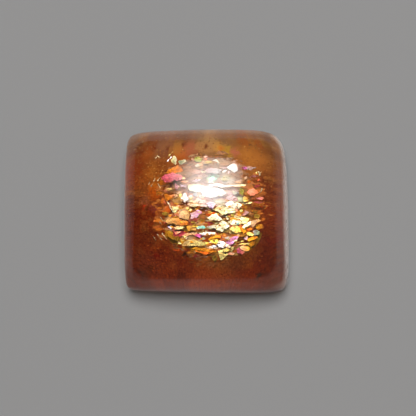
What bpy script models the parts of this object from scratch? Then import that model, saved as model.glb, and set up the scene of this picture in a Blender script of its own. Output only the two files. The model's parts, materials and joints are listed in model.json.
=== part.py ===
"""A square sunstone cabochon: one polished stone with a domed top, a short wall and a flat, bevelled base.

The base lies in the XY plane, +Z is up, and the origin is the middle of the base.
"""

import math

import bmesh
import bpy

MM = 0.001

# Overall heights, in metres
STONE_HEIGHT = 5.6 * MM
GIRDLE_HEIGHT = 1.5 * MM
BEVEL_HEIGHT = 0.35 * MM
BEVEL_INSET = 0.35 * MM

# The hand-cut plan: where each corner of the square would lie if it were sharp, and how
# square it stays. A squareness of 1 is a sharp corner, and 0 would be a circle.
CORNERS = {
    (-1, 1): {"place": (-5.98 * MM, 5.99 * MM), "squareness": 0.978},
    (1, 1): {"place": (5.82 * MM, 5.99 * MM), "squareness": 0.942},
    (1, -1): {"place": (6.02 * MM, -6.04 * MM), "squareness": 0.977},
    (-1, -1): {"place": (-6.00 * MM, -5.82 * MM), "squareness": 0.991},
}

# The wall leans in by this much from its foot to the girdle
WALL_LEAN = 0.06 * MM

# The dome's height is (1 - r^2) to this power, with r from 0 at the top to 1 at the girdle:
# 0.5 is half an ellipse, and less is flatter on top and rounder at the shoulder
DOME_POWER = 0.40

# Faces along each side of the dome, rows of faces down the wall, and how much closer
# together the faces stand at the corners than along the sides
DOME_FACES = 36
WALL_ROWS = 2
CORNER_CROWDING = 0.12

STONE_COLOUR = (0.30, 0.085, 0.022, 1.0)
STONE_ROUGHNESS = 0.08


def corner_mix(u, v, read):
    """A corner value blended over the square from -1 to 1 in u and v."""
    return sum(
        read(corner) * (1 + sx * u) * (1 + sy * v) / 4
        for (sx, sy), corner in CORNERS.items()
    )


def ring_point(angle, share):
    """The plan point at an angle on a ring of the dome, in metres. Rings near the middle
    are round, and the last one, at a share of 1, is the stone's own rounded square."""
    along, across = math.cos(angle), math.sin(angle)
    widest = max(abs(along), abs(across))
    squareness = corner_mix(along / widest, across / widest, lambda c: c["squareness"])
    diagonal = squareness * (along * across) ** 2
    if diagonal < 1e-9:
        reach = share
    else:
        inside = 1 - 4 * diagonal * share * share
        reach = math.sqrt((1 - math.sqrt(inside)) / (2 * diagonal))
    u, v = along * reach, across * reach
    x = corner_mix(u, v, lambda c: c["place"][0])
    y = corner_mix(u, v, lambda c: c["place"][1])
    return x, y


def ring_angle(u, v):
    """The angle of a point on the rim of a flat square, crowded towards the corners."""
    turn = math.atan2(v, u)
    quarter = round(turn / (math.pi / 2)) * math.pi / 2
    from_side = math.tan(turn - quarter) * math.pi / 4
    return quarter + from_side + CORNER_CROWDING * math.sin(4 * from_side)


def shape_dome(bm):
    """Turns a flat grid from -1 to 1 into the dome: each square of its points becomes one
    level ring, and the outermost is the girdle."""
    rise = STONE_HEIGHT - GIRDLE_HEIGHT
    for vert in bm.verts:
        step = max(abs(vert.co.x), abs(vert.co.y))
        if step < 1e-6:
            x, y = ring_point(0.0, 0.0)
            height = 1.0
        else:
            share = math.sin(step * math.pi / 2)
            x, y = ring_point(ring_angle(vert.co.x, vert.co.y), share)
            height = max(1 - share * share, 0.0) ** DOME_POWER
        vert.co = (x, y, GIRDLE_HEIGHT + rise * height)


def extrude_rim(bm, z, outward):
    """Carries the open edge down to height z, moving it outwards by that distance."""
    rim = [edge for edge in bm.edges if edge.is_boundary]
    made = bmesh.ops.extrude_edge_only(bm, edges=rim)["geom"]
    half_width = abs(CORNERS[(1, -1)]["place"][0])
    scale = 1 + outward / half_width
    for vert in (item for item in made if isinstance(item, bmesh.types.BMVert)):
        vert.co.x *= scale
        vert.co.y *= scale
        vert.co.z = z


def centre_on_origin(bm):
    """Puts the middle of the plan on the Z axis."""
    xs = [vert.co.x for vert in bm.verts]
    ys = [vert.co.y for vert in bm.verts]
    middle = ((min(xs) + max(xs)) / 2, (min(ys) + max(ys)) / 2, 0)
    bmesh.ops.translate(bm, verts=bm.verts, vec=[-value for value in middle])


def stone_material():
    material = bpy.data.materials.new("sunstone")
    material.use_nodes = True
    shader = material.node_tree.nodes["Principled BSDF"]
    shader.inputs["Base Color"].default_value = STONE_COLOUR
    shader.inputs["Roughness"].default_value = STONE_ROUGHNESS
    shader.inputs["Metallic"].default_value = 0.0
    return material


def make_cabochon():
    bm = bmesh.new()
    bmesh.ops.create_grid(bm, x_segments=DOME_FACES, y_segments=DOME_FACES, size=1)
    shape_dome(bm)

    # The wall, row by row from the girdle down to the bevel
    for row in range(1, WALL_ROWS + 1):
        z = GIRDLE_HEIGHT + (BEVEL_HEIGHT - GIRDLE_HEIGHT) * row / WALL_ROWS
        extrude_rim(bm, z, WALL_LEAN / WALL_ROWS)
    extrude_rim(bm, 0.0, -BEVEL_INSET)

    # One flat face closes the base
    base_rim = [edge for edge in bm.edges if edge.is_boundary]
    bmesh.ops.edgeloop_fill(bm, edges=base_rim)
    centre_on_origin(bm)
    bmesh.ops.recalc_face_normals(bm, faces=bm.faces)

    mesh = bpy.data.meshes.new("cabochon")
    bm.to_mesh(mesh)
    bm.free()
    mesh.materials.append(stone_material())
    mesh.shade_smooth()
    mesh.set_sharp_from_angle(angle=math.radians(30))

    cabochon = bpy.data.objects.new("cabochon", mesh)
    bpy.context.scene.collection.objects.link(cabochon)
    return cabochon


def main():
    for old in list(bpy.data.objects):
        bpy.data.objects.remove(old)
    make_cabochon()


main()
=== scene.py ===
# A square sunstone cabochon on a pale studio floor: a clear polished skin over a warm brown
# body, with a zone of flat metallic platelets inside that mirror one soft overhead light.

import json
import math
import random

import bmesh
import bpy
from mathutils import Matrix, Vector
from mathutils.bvhtree import BVHTree

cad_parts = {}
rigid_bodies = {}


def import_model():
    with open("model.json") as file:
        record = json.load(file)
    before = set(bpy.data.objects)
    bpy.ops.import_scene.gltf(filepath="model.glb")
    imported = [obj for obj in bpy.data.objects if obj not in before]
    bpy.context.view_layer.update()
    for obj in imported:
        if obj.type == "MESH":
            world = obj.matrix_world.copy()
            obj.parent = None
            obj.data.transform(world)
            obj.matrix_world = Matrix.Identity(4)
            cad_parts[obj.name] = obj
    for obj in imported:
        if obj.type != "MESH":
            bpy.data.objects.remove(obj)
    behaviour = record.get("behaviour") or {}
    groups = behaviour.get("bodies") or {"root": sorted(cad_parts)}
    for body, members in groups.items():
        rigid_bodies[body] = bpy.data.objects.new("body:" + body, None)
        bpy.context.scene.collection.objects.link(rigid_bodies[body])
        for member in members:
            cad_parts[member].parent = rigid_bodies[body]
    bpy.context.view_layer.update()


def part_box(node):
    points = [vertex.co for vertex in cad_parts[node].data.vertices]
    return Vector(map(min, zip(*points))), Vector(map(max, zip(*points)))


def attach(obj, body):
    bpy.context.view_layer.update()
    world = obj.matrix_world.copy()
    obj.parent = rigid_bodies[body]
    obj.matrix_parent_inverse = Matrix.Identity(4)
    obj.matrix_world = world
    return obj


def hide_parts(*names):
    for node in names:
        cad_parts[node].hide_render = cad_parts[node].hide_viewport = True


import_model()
print("frame loaded")

mm = 0.001
scene = bpy.context.scene
stoneLow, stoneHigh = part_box("cabochon")


def only(obj):
    bpy.ops.object.select_all(action="DESELECT")
    obj.select_set(True)
    bpy.context.view_layer.objects.active = obj


def joinAs(name, parts):
    bpy.ops.object.select_all(action="DESELECT")
    for part in parts:
        part.select_set(True)
    bpy.context.view_layer.objects.active = parts[0]
    bpy.ops.object.join()
    joined = bpy.context.object
    joined.name = joined.data.name = name
    return joined


# a flat piece with these corners
def makeFlat(name, corners):
    bpy.ops.object.select_all(action="DESELECT")
    bpy.ops.mesh.primitive_circle_add(vertices=len(corners), radius=mm, fill_type="NGON")
    flat = bpy.context.object
    flat.name = flat.data.name = name
    for vert, corner in zip(flat.data.vertices, corners):
        vert.co = corner
    return flat


# draws the active flat piece out by a vector, into a closed slab
def thicken(way):
    bpy.ops.object.mode_set(mode="EDIT")
    bpy.ops.mesh.select_all(action="SELECT")
    bpy.ops.mesh.extrude_region_move(TRANSFORM_OT_translate={"value": way})
    bpy.ops.mesh.select_all(action="SELECT")
    bpy.ops.mesh.normals_make_consistent(inside=False)
    bpy.ops.object.mode_set(mode="OBJECT")


# node helpers
def addNode(tree, kind, **values):
    node = tree.nodes.new(kind)
    for key, value in values.items():
        setattr(node, key, value)
    return node


def feed(tree, socket, value):
    if isinstance(value, bpy.types.NodeSocket):
        tree.links.new(value, socket)
    elif isinstance(value, tuple) and socket.type == "RGBA":
        socket.default_value = (*value[:3], 1)
    else:
        socket.default_value = value


def addMath(tree, operation, *values):
    node = addNode(tree, "ShaderNodeMath", operation=operation)
    for socket, value in zip(node.inputs, values):
        feed(tree, socket, value)
    return node.outputs[0]


def addVector(tree, operation, *values):
    node = addNode(tree, "ShaderNodeVectorMath", operation=operation)
    for socket, value in zip(node.inputs, values):
        feed(tree, socket, value)
    return node.outputs["Value" if operation == "LENGTH" else "Vector"]


def addMix(tree, kind, share, a, b):
    mix = addNode(tree, "ShaderNodeMix", data_type="RGBA", blend_type=kind)
    for socket, value in ((mix.inputs["Factor"], share), (mix.inputs[6], a), (mix.inputs[7], b)):
        feed(tree, socket, value)
    return mix.outputs[2]


# a value carried from one span to another, and held at the ends
def addRange(tree, value, start, end, low=0.0, high=1.0, kind="SMOOTHSTEP"):
    span = addNode(tree, "ShaderNodeMapRange", interpolation_type=kind)
    for socket, amount in zip(span.inputs, (value, start, end, low, high)):
        feed(tree, socket, amount)
    return span.outputs[0]


def axesOf(tree, place):
    parts = addNode(tree, "ShaderNodeSeparateXYZ")
    tree.links.new(place, parts.inputs[0])
    return list(parts.outputs)


# a value as a grey colour
def addGrey(tree, value):
    grey = addNode(tree, "ShaderNodeCombineColor")
    for socket in grey.inputs[:3]:
        tree.links.new(value, socket)
    return grey.outputs[0]


# a noise pattern, stretched by the scale along each axis
def addNoise(tree, place, scale, detail=3.0, roughness=0.55, stretch=(1, 1, 1)):
    mapping = addNode(tree, "ShaderNodeMapping")
    mapping.inputs["Scale"].default_value = stretch
    tree.links.new(place, mapping.inputs["Vector"])
    noise = addNode(tree, "ShaderNodeTexNoise")
    noise.inputs["Scale"].default_value = scale
    noise.inputs["Detail"].default_value = detail
    noise.inputs["Roughness"].default_value = roughness
    tree.links.new(mapping.outputs[0], noise.inputs["Vector"])
    return noise.outputs[0]


# each stop is a position with a colour or a grey level
def addRamp(tree, source, stops):
    ramp = addNode(tree, "ShaderNodeValToRGB")
    elements = ramp.color_ramp.elements
    while len(elements) < len(stops):
        elements.new(0.5)
    for element, (position, tone) in zip(elements, stops):
        element.position = position
        element.color = (*tone, 1) if isinstance(tone, tuple) else (tone, tone, tone, 1)
    tree.links.new(source, ramp.inputs["Fac"])
    return ramp.outputs[0]


def addBump(tree, shader, height, strength, distance):
    bump = addNode(tree, "ShaderNodeBump")
    bump.inputs["Strength"].default_value = strength
    bump.inputs["Distance"].default_value = distance
    tree.links.new(height, bump.inputs["Height"])
    tree.links.new(bump.outputs[0], shader.inputs["Normal"])


# how much a place lies in a soft oval spot, which is even in its core
def addSpot(tree, place, middle, shrink, strength, core=0.15):
    offset = (-middle.x * shrink[0], -middle.y * shrink[1], 0)
    apart = addVector(tree, "MULTIPLY_ADD", place, (*shrink, 0), offset)
    return addRange(tree, addVector(tree, "LENGTH", apart), 1.0, core, 0.0, strength)


def newMaterial(name):
    material = bpy.data.materials.new(name)
    material.use_nodes = True
    tree = material.node_tree
    return material, tree, tree.nodes["Principled BSDF"]


def setSockets(tree, node, values):
    for name, value in values.items():
        feed(tree, node.inputs[name], value)


# places on the piece, in millimetres
def inMillimetres(tree):
    coordinates = addNode(tree, "ShaderNodeTexCoord")
    scaled = addNode(tree, "ShaderNodeMapping")
    scaled.inputs["Scale"].default_value = (1 / mm,) * 3
    tree.links.new(coordinates.outputs["Object"], scaled.inputs["Vector"])
    return scaled.outputs[0]


# the camera looks almost straight down, a little from the lower right
viewSet = {
    "lens": 100,
    "sensor": 36,
    "tilt": math.radians(8),
    "azimuth": math.radians(45),
    "frameWidth": 30.65 * mm,           # what the picture's width covers at the stone
    "picture": 416,                     # the picture's width in pixels
    "aim": Vector((0.14, 0.26, 1.2)) * mm,
    "nearest": 5 * mm,                  # nothing closer to the camera is drawn
}


def cameraAxes():
    lean, turn = viewSet["tilt"], viewSet["azimuth"]
    back = Vector((math.sin(turn) * math.sin(lean), -math.cos(turn) * math.sin(lean), math.cos(lean)))
    right = Vector((0, 1, 0)).cross(back).normalized()
    return right, back.cross(right), back


def cameraPlace():
    distance = viewSet["frameWidth"] * viewSet["lens"] / viewSet["sensor"]
    return viewSet["aim"] + cameraAxes()[2] * distance


def makeCamera():
    bpy.ops.object.camera_add(location=cameraPlace())
    camera = bpy.context.object
    camera.rotation_euler = Matrix(cameraAxes()).transposed().to_euler()
    camera.data.lens = viewSet["lens"]
    camera.data.sensor_width = viewSet["sensor"]
    camera.data.clip_start = viewSet["nearest"]
    scene.camera = camera


# the line of sight through a pixel of the picture
def sightLine(px, py):
    right, up, back = cameraAxes()
    perPixel = viewSet["frameWidth"] / viewSet["picture"]
    half = viewSet["picture"] / 2
    target = viewSet["aim"] + right * ((px - half) * perPixel) + up * ((half - py) * perPixel)
    eye = cameraPlace()
    return eye, (target - eye).normalized()


# the stone's clear skin and its ground base
cut = {
    "girdle": 1.5 * mm,
    "domePower": 0.40,              # (1 - r^2) to this power: 0.5 would be half an ellipse
    "cornerCrowding": 0.12,
    "faces": 120,                   # along each side of the dome
    "halfWidth": 6.02 * mm,
    # height of each loop down the wall and round the foot, and how far it stands out, in mm
    "wallLoops": [(1.30, 0.010), (0.90, 0.031), (0.50, 0.052), (0.38, 0.056), (0.33, 0.036),
                  (0.22, -0.070), (0.10, -0.190), (0.03, -0.258), (0.00, -0.290)],
    # where each corner would lie if it were sharp, in mm, and how square it stays
    "corners": {
        (-1, 1): (-5.98, 5.99, 0.978),
        (1, 1): (5.82, 5.99, 0.942),
        (1, -1): (6.02, -6.04, 0.977),
        (-1, -1): (-6.00, -5.82, 0.991),
    },
    "smoothUnder": math.radians(32),
}

stoneLook = {
    "ior": 1.54,
    # the polished face in plan, in mm: a rounded square inside the shoulder
    "faceMiddle": (0.02, -0.01),
    "faceHalf": (5.31, 5.08),
    # bands round that face: start and end in shares of it, squareness, and lean
    "shoulder": (0.98, 1.04, 8.0, 0.0),
    "wall": (1.066, 1.13, 15.0, 0.014),
    "roundWall": (1.05, 1.12, 8.0, 0.0),    # the same wall, where its corners are rounder
    "roundSpan": (2.5, 4.2),                # where along Y the rounder wall takes over, in mm
    "uneven": {"scale": 3.0, "detail": 4.0, "roughness": 0.6, "stretch": (1, 1, 3)},
    "unevenness": 0.02,                     # how far that shifts the bands, in shares
    # roughness, clearness and tint of the polished face, the shoulder and the wall
    "finish": (0.02, 0.12, 0.30),
    "clear": (1.0, 0.965, 0.30),
    "veil": ((1.0, 1.0, 1.0), (1.0, 0.78, 0.62), (1.0, 0.93, 0.88)),
    # how far the wall is ground pale everywhere, and painted light: paler still on the +X and +Y sides
    "grindAndLight": (0.05, 0.98, 0.09),
    "litSideSpan": (4.6, 5.7),                # how far out on those sides it sets in, in mm
    # painted shade: less of that paleness towards -Y, the side away from the lamps
    "southShadeSpan": (-5.6, -4.5, 0.35),           # along Y it is less near -Y: span in mm, and what is left
    # down the wall it is patchy: the span of noise from the thinnest patch, which keeps the third
    # number, to a full one, and the heights in mm between which the patches close
    "patches": {"scale": 1.8, "detail": 5.0, "roughness": 0.7, "stretch": (1, 1, 0.8)},
    "patchSpan": (0.25, 0.65, 0.78),
    "patchTop": (1.2, 3.6),
    # painted shade at the foot and on the -Y side: its span in height or along Y, in mm, and what
    # it leaves of the colour
    "foot": (0.0, 2.0, 0.15),
    "southFootShade": (-6.0, -5.45, 0.35),
    "waves": {"scale": 1.6, "detail": 3.0, "roughness": 0.6, "stretch": (0.5, 1.6, 1)},
    "waveDepth": 0.012,                     # depth of the soft waves that polishing left, in mm
    "absorption": (0.85, 0.50, 0.30),       # what a short way through the body leaves of each colour
    "density": 110,                         # per metre
    "sheen": 0.13,                          # the soft pale bloom towards the rim
    "sheenRoughness": 0.25,
    "sheenTint": (1.0, 0.87, 0.78),
}

bodyLook = {
    "span": (-4.5, 5.5),                    # where the drift along Y begins and ends, in mm
    # along Y: partly the body's colour, partly painted shade towards -Y and painted light towards +Y
    "northward": [
        (0.0, (0.15, 0.025, 0.002)),        # red brown towards -Y
        (0.45, (0.21, 0.034, 0.001)),
        (0.80, (0.33, 0.14, 0.028)),        # golden brown
        (1.0, (0.28, 0.21, 0.085)),         # pale olive gold at the +Y rim
    ],
    "drift": {"scale": 0.45, "detail": 3.0},
    "driftReach": 0.5,                      # how far that carries the colours along
    "gold": (0.75, 0.46, 0.08),
    "goldFlecks": {"scale": 1.3, "detail": 3.0, "roughness": 0.6},
    "goldShare": [(0.50, 0.0), (0.75, 0.7)],    # how much of them there is, by their noise
    "smoke": {"scale": 2.4, "detail": 5.0, "roughness": 0.75, "stretch": (0.8, 1.2, 1)},
    "smokeTones": [(0.34, (0.60, 0.50, 0.45)), (0.5, (0.98, 0.95, 1.0)), (0.66, (1.25, 1.3, 1.2))],
    "squareness": 5.0,                      # of the rim's shade in plan
    # painted shade towards the rim: where it sets in and ends, in mm, and what it leaves of the colour
    "rimShadeSpan": (2.7, 4.9),                  # mm
    "rim": (0.45, 0.38, 0.35),              # what is left of its colour at the rim
}

baseLook = {
    # the dome draws the base out towards the north rim, so patterns fade there: where along Y, in mm
    "plainSpan": (3.8, 1.8),
    "leastSmoke": 0.4,
    "dark": (0.07, 0.008, 0.001),
    "veins": {"scale": 1.5, "detail": 5.0, "roughness": 0.6, "stretch": (0.35, 1.5, 1)},
    "veinShare": [(0.40, 0.0), (0.70, 0.6)],
    # the clouds' ragged edges, and their reach in mm along X and Y
    "rags": {"Scale": 2.6, "Detail": 4.0},
    "ragReach": (0.9, 0.45),
    "leastRag": 0.4,                        # how much of the reach along Y is left in the north
    # how far the dome shrinks what lies on the base: pixels each way, their usual reach in mm,
    # and the least share of it
    "probe": 2,
    "probeReach": 0.24,
    "leastSize": 0.3,
    "grit": {"scale": 9.0, "detail": 4.0, "roughness": 0.7},
    "gritTones": [(0.36, (0.55, 0.5, 0.5)), (0.64, (1.4, 1.45, 1.5))],
    "roughness": 0.6,
    "tooth": {"scale": 14.0, "detail": 2.0},
    "toothStrength": 0.3,
    "toothDepth": 0.02,                     # mm
}

# clouds in the body, in the order that they are laid: colour, middle in pixels as the camera
# sees it, reach in mm, and strength
clouds = [
    # painted light: the first cloud is an amber glow painted under the bright zone
    ((0.42, 0.11, 0.005), (210, 215), 3.8, 0.9),      # the amber glow under the bright zone
    ((0.25, 0.165, 0.075), (212, 148), 2.3, 0.8),
    ((0.115, 0.075, 0.042), (210, 172), 1.8, 0.85),   # dull under the haze
    ((0.34, 0.065, 0.006), (212, 270), 2.3, 0.75),
    ((0.38, 0.09, 0.020), (212, 283), 2.8, 0.5),
    ((0.31, 0.10, 0.008), (148, 176), 1.3, 0.7),
    ((0.44, 0.20, 0.032), (250, 158), 1.4, 0.7),
    ((0.27, 0.14, 0.080), (165, 145), 1.2, 0.5),
    ((0.09, 0.02, 0.004), (146, 236), 0.9, 0.6),
    ((0.12, 0.030, 0.012), (149, 265), 1.4, 0.5),
    ((0.19, 0.030, 0.003), (133, 170), 1.7, 0.75),
    ((0.27, 0.055, 0.002), (271, 216), 1.7, 0.4),
    ((0.42, 0.17, 0.020), (222, 257), 1.5, 0.6),
    ((0.34, 0.12, 0.012), (196, 256), 1.2, 0.55),
    ((0.34, 0.12, 0.012), (246, 254), 1.0, 0.6),
    ((0.20, 0.03, 0.001), (184, 264), 1.1, 0.8),
    ((0.20, 0.03, 0.001), (250, 271), 0.9, 0.8),
    ((0.20, 0.06, 0.014), (235, 263), 0.8, 0.7),
    ((0.48, 0.14, 0.012), (180, 157), 0.8, 0.75),
    ((0.48, 0.27, 0.050), (177, 150), 0.6, 0.5),
    ((0.42, 0.15, 0.075), (190, 150), 0.8, 0.75),
    ((0.48, 0.28, 0.100), (202, 148), 0.6, 0.7),
    ((0.48, 0.30, 0.110), (211, 148), 0.8, 0.7),
    ((0.58, 0.36, 0.060), (219, 148), 0.5, 0.8),
    ((0.50, 0.17, 0.020), (221, 150), 0.3, 0.8),
    ((0.45, 0.31, 0.040), (228, 151), 0.5, 1.0),
    ((0.45, 0.17, 0.100), (235, 152), 0.45, 0.9),
    ((0.34, 0.09, 0.008), (148, 154), 0.6, 0.5),
    ((0.14, 0.02, 0.002), (154, 148), 0.3, 1.0),
    ((0.12, 0.03, 0.008), (183, 145), 0.25, 0.9),
    ((0.14, 0.03, 0.008), (206, 146), 0.25, 0.9),
    ((0.14, 0.03, 0.008), (168, 149), 0.25, 0.8),
    ((0.46, 0.32, 0.110), (208, 138), 0.7, 0.4),
    ((0.26, 0.07, 0.010), (150, 146), 0.6, 0.4),
    ((0.30, 0.09, 0.012), (243, 140), 0.5, 0.55),
    ((0.26, 0.07, 0.010), (259, 144), 0.4, 0.6),
    ((0.55, 0.20, 0.010), (158, 185), 0.6, 0.9),
    ((0.55, 0.13, 0.004), (155, 193), 0.65, 0.9),
    ((0.25, 0.10, 0.040), (145, 201), 0.5, 0.8),
    ((0.40, 0.03, 0.004), (144, 206), 0.25, 0.9),
    ((0.22, 0.05, 0.040), (155, 208), 0.5, 0.7),
    ((0.25, 0.11, 0.020), (158, 225), 0.5, 0.8),
    ((0.14, 0.01, 0.001), (158, 257), 0.3, 1.0),
    ((0.06, 0.015, 0.002), (150, 268), 0.4, 0.8),
    ((0.05, 0.02, 0.012), (143, 274), 0.5, 0.8),
    ((0.07, 0.012, 0.001), (181, 275), 0.6, 0.7),
    ((0.26, 0.07, 0.010), (173, 265), 0.5, 0.6),
    ((0.35, 0.17, 0.050), (213, 264), 0.5, 0.9),
    ((0.28, 0.12, 0.030), (225, 262), 0.45, 0.7),
    ((0.28, 0.08, 0.006), (248, 263), 0.5, 0.8),
    ((0.04, 0.02, 0.010), (260, 275), 0.35, 1.0),
    ((0.08, 0.02, 0.006), (274, 280), 0.35, 0.8),
    ((0.28, 0.04, 0.002), (265, 206), 0.4, 0.8),
    ((0.16, 0.012, 0.002), (272, 240), 0.4, 0.7),
    ((0.22, 0.06, 0.020), (259, 240), 0.4, 0.7),
]


def cornerMix(u, v, index):
    return sum(
        corner[index] * (1 + sx * u) * (1 + sy * v) / 4
        for (sx, sy), corner in cut["corners"].items()
    )


# a point of the plan at an angle on a ring: rings are round in the middle and square at the rim
def ringPoint(angle, share):
    along, across = math.cos(angle), math.sin(angle)
    widest = max(abs(along), abs(across))
    diagonal = cornerMix(along / widest, across / widest, 2) * (along * across) ** 2
    reach = share
    if diagonal > 1e-9:
        inside = 1 - 4 * diagonal * share * share
        reach = math.sqrt((1 - math.sqrt(inside)) / (2 * diagonal))
    u, v = along * reach, across * reach
    return cornerMix(u, v, 0) * mm, cornerMix(u, v, 1) * mm


def ringAngle(u, v):
    turn = math.atan2(v, u)
    quarter = round(turn / (math.pi / 2)) * math.pi / 2
    fromSide = math.tan(turn - quarter) * math.pi / 4
    return quarter + fromSide + cut["cornerCrowding"] * math.sin(4 * fromSide)


# a grid domed ring by ring, then its edge pulled down into the wall and the foot
def makeStone():
    bpy.ops.object.select_all(action="DESELECT")
    bpy.ops.mesh.primitive_grid_add(x_subdivisions=cut["faces"], y_subdivisions=cut["faces"], size=2)
    stone = bpy.context.object
    stone.name = stone.data.name = "stone"
    rise = stoneHigh.z - cut["girdle"]
    for vert in stone.data.vertices:
        u, v = vert.co.x, vert.co.y
        share = math.sin(max(abs(u), abs(v)) * math.pi / 2)
        x, y = ringPoint(ringAngle(u, v) if share > 1e-6 else 0.0, share)
        vert.co = (x, y, cut["girdle"] + rise * max(1 - share * share, 0.0) ** cut["domePower"])

    bpy.ops.object.mode_set(mode="EDIT")
    bpy.ops.mesh.select_mode(type="EDGE")
    bpy.ops.mesh.select_all(action="DESELECT")
    bpy.ops.mesh.select_non_manifold()
    lastZ, lastOut = cut["girdle"], 0.0
    for z, out in cut["wallLoops"]:
        grow = (cut["halfWidth"] + out * mm) / (cut["halfWidth"] + lastOut * mm)
        bpy.ops.mesh.extrude_region_move(TRANSFORM_OT_translate={"value": (0, 0, z * mm - lastZ)})
        bpy.ops.transform.resize(value=(grow, grow, 1), center_override=(0, 0, 0))
        lastZ, lastOut = z * mm, out
    bpy.ops.mesh.edge_face_add()
    bpy.ops.mesh.select_all(action="SELECT")
    bpy.ops.mesh.normals_make_consistent(inside=False)
    bpy.ops.object.mode_set(mode="OBJECT")

    xs = [vert.co.x for vert in stone.data.vertices]
    ys = [vert.co.y for vert in stone.data.vertices]
    middle = Vector(((min(xs) + max(xs)) / 2, (min(ys) + max(ys)) / 2, 0))
    stone.data.transform(Matrix.Translation((stoneLow + stoneHigh).xy.to_3d() / 2 - middle))
    only(stone)
    bpy.ops.object.shade_smooth_by_angle(angle=cut["smoothUnder"])
    return stone


# clear feldspar, polished on the dome and only ground on its shoulder and wall, whose paleness on the
# +X and +Y sides is painted light and whose darker foot and -Y side are painted shade; light that is
# already inside leaves it unbent, so the lamps light the body
def skinMaterial():
    material, tree, shader = newMaterial("feldspar")
    place = inMillimetres(tree)
    x, y, z = axesOf(tree, place)
    uneven = addNoise(tree, place, **stoneLook["uneven"])
    uneven = addMath(tree, "MULTIPLY", uneven, stoneLook["unevenness"])

    # how far out a place lies, from 0 to 1 across a band of rounded squares
    def band(start, end, squareness, lean):
        leant = addMath(tree, "ADD", x, addMath(tree, "MULTIPLY", y, lean))
        powers = []
        for side, middle, half in zip((leant, y), stoneLook["faceMiddle"], stoneLook["faceHalf"]):
            off = addMath(tree, "ABSOLUTE", addMath(tree, "SUBTRACT", side, middle))
            powers.append(addMath(tree, "POWER", addMath(tree, "DIVIDE", off, half), squareness))
        reach = addMath(tree, "POWER", addMath(tree, "ADD", *powers), 1 / squareness)
        return addRange(tree, addMath(tree, "ADD", reach, uneven), start, end)

    rounder = addRange(tree, y, *stoneLook["roundSpan"])
    rounder = addMath(tree, "MULTIPLY", band(*stoneLook["roundWall"]), rounder)
    wall = addMath(tree, "MAXIMUM", band(*stoneLook["wall"]), rounder)
    # how ground the wall is, with painted light making it paler on the +X and +Y sides and painted shade
    # keeping it darker towards -Y
    wornAndLit = stoneLook["grindAndLight"][0]
    for side, most in zip((x, y), stoneLook["grindAndLight"][1:]):
        wornAndLit = addMath(tree, "ADD", wornAndLit, addRange(tree, side, *stoneLook["litSideSpan"], 0.0, most))
    patches = addNoise(tree, place, **stoneLook["patches"])
    patches = addRange(tree, patches, *stoneLook["patchSpan"])
    patches = addMath(tree, "MAXIMUM", patches, addRange(tree, z, *stoneLook["patchTop"]))
    for share in (wall, addRange(tree, y, *stoneLook["southShadeSpan"]), patches):
        wornAndLit = addMath(tree, "MULTIPLY", wornAndLit, share)
    groundAndLit = addMath(tree, "ADD", band(*stoneLook["shoulder"]), wornAndLit)
    groundAndLit = addMath(tree, "MULTIPLY", groundAndLit, 0.5)

    # painted shade darkens the foot of the wall and its -Y side, but not where the wall is ground pale,
    # nor where it carries painted light
    footShades = (addRange(tree, z, *stoneLook["foot"]), addRange(tree, y, *stoneLook["southFootShade"]))
    unshaded = addMath(tree, "MAXIMUM", addMath(tree, "MULTIPLY", *footShades), wornAndLit)
    for key, socket in (("finish", "Roughness"), ("clear", "Transmission Weight"), ("veil", "Base Color")):
        ramp = addRamp(tree, groundAndLit, list(zip((0.0, 0.5, 1.0), stoneLook[key])))
        if key == "veil":
            ramp = addMix(tree, "MULTIPLY", 1.0, ramp, addGrey(tree, unshaded))
        tree.links.new(ramp, shader.inputs[socket])
    waves = addNoise(tree, place, **stoneLook["waves"])
    addBump(tree, shader, waves, 1.0, stoneLook["waveDepth"] * mm)
    setSockets(tree, shader, {
        "IOR": stoneLook["ior"],
        "Sheen Weight": stoneLook["sheen"],
        "Sheen Roughness": stoneLook["sheenRoughness"],
        "Sheen Tint": stoneLook["sheenTint"],
    })

    path = addNode(tree, "ShaderNodeLightPath").outputs
    face = addNode(tree, "ShaderNodeNewGeometry")
    inner = addMath(tree, "MAXIMUM", path["Is Shadow Ray"], path["Is Diffuse Ray"])
    leaving = addMath(tree, "MULTIPLY", inner, face.outputs["Backfacing"])
    passing = addNode(tree, "ShaderNodeBsdfTransparent")
    mix = addNode(tree, "ShaderNodeMixShader")
    for socket, source in zip(mix.inputs, (leaving, shader.outputs[0], passing.outputs[0])):
        tree.links.new(source, socket)
    output = tree.nodes["Material Output"]
    tree.links.new(mix.outputs[0], output.inputs["Surface"])
    absorption = addNode(tree, "ShaderNodeVolumeAbsorption")
    feed(tree, absorption.inputs["Color"], stoneLook["absorption"])
    feed(tree, absorption.inputs["Density"], stoneLook["density"])
    tree.links.new(absorption.outputs[0], output.inputs["Volume"])
    return material


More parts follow.
